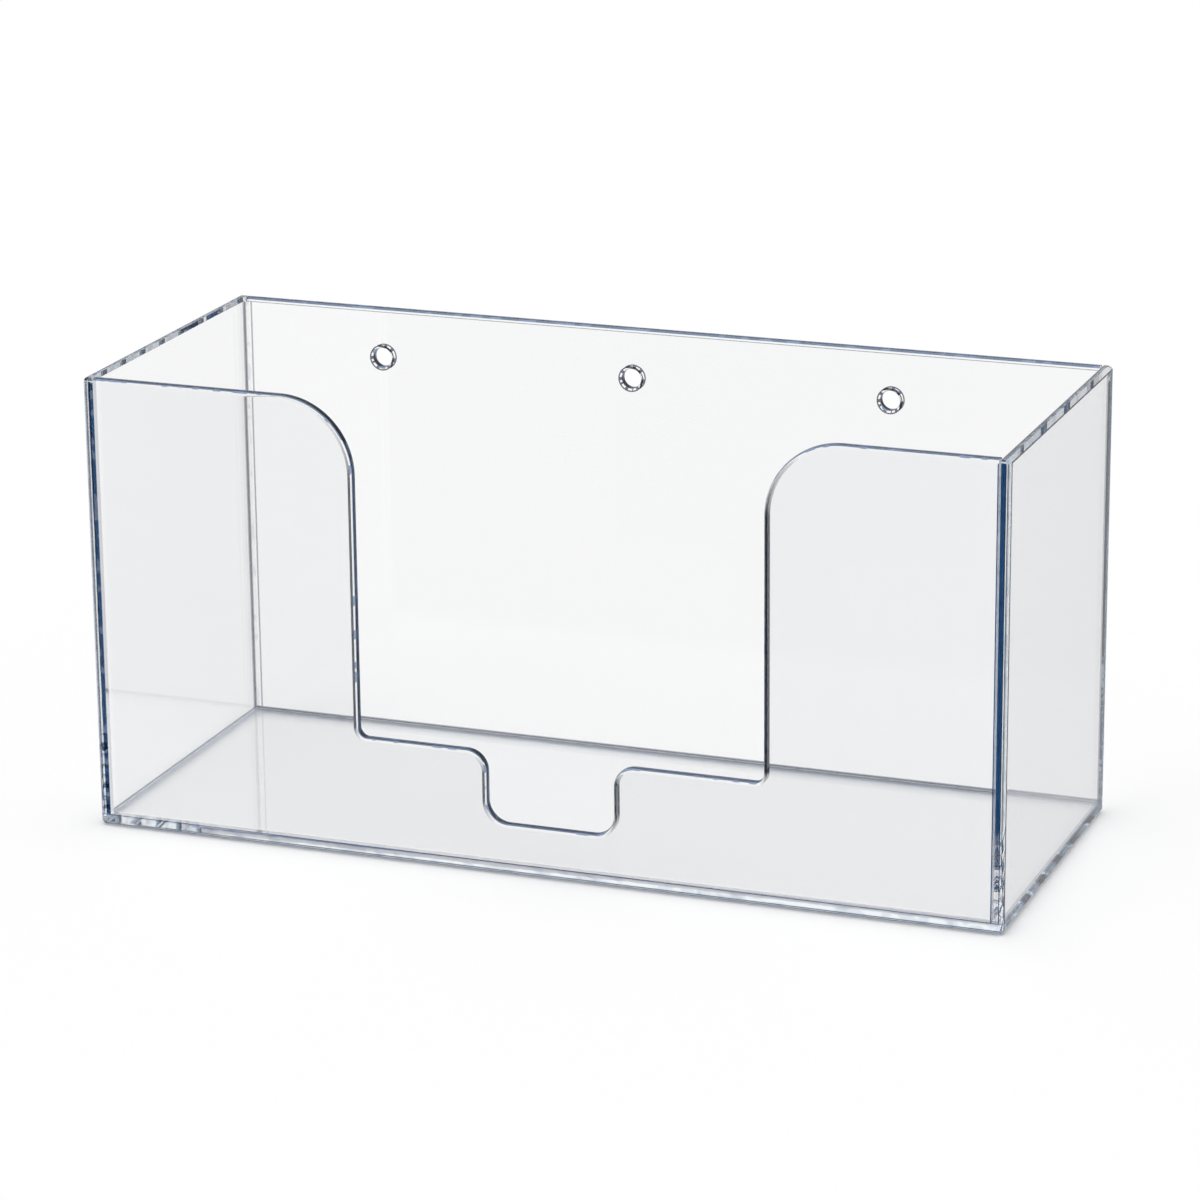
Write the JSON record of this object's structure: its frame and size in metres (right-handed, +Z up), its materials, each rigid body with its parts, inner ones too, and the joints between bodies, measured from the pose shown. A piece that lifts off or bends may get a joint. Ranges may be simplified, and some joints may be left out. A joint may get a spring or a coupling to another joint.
{
  "type": "wipe dispenser",
  "caption": "Open-topped wall dispenser box of clear acrylic sheet, with a wide cut-away front and finger notch, and a row of screw holes in the back.",
  "frame": {"origin": "middle of the box's underside", "axes": "+X along the wall, to the right seen from the front; +Y from the front to the wall; +Z up"},
  "size_m": [0.26, 0.102, 0.128],
  "materials": {
    "clear_acrylic": "clear cast acrylic sheet with polished faces and edges"
  },
  "bodies": {
    "root": {"base_panel": "clear_acrylic", "left_side_panel": "clear_acrylic", "right_side_panel": "clear_acrylic", "back_panel": "clear_acrylic", "front_panel": "clear_acrylic"}
  },
  "joints": []
}
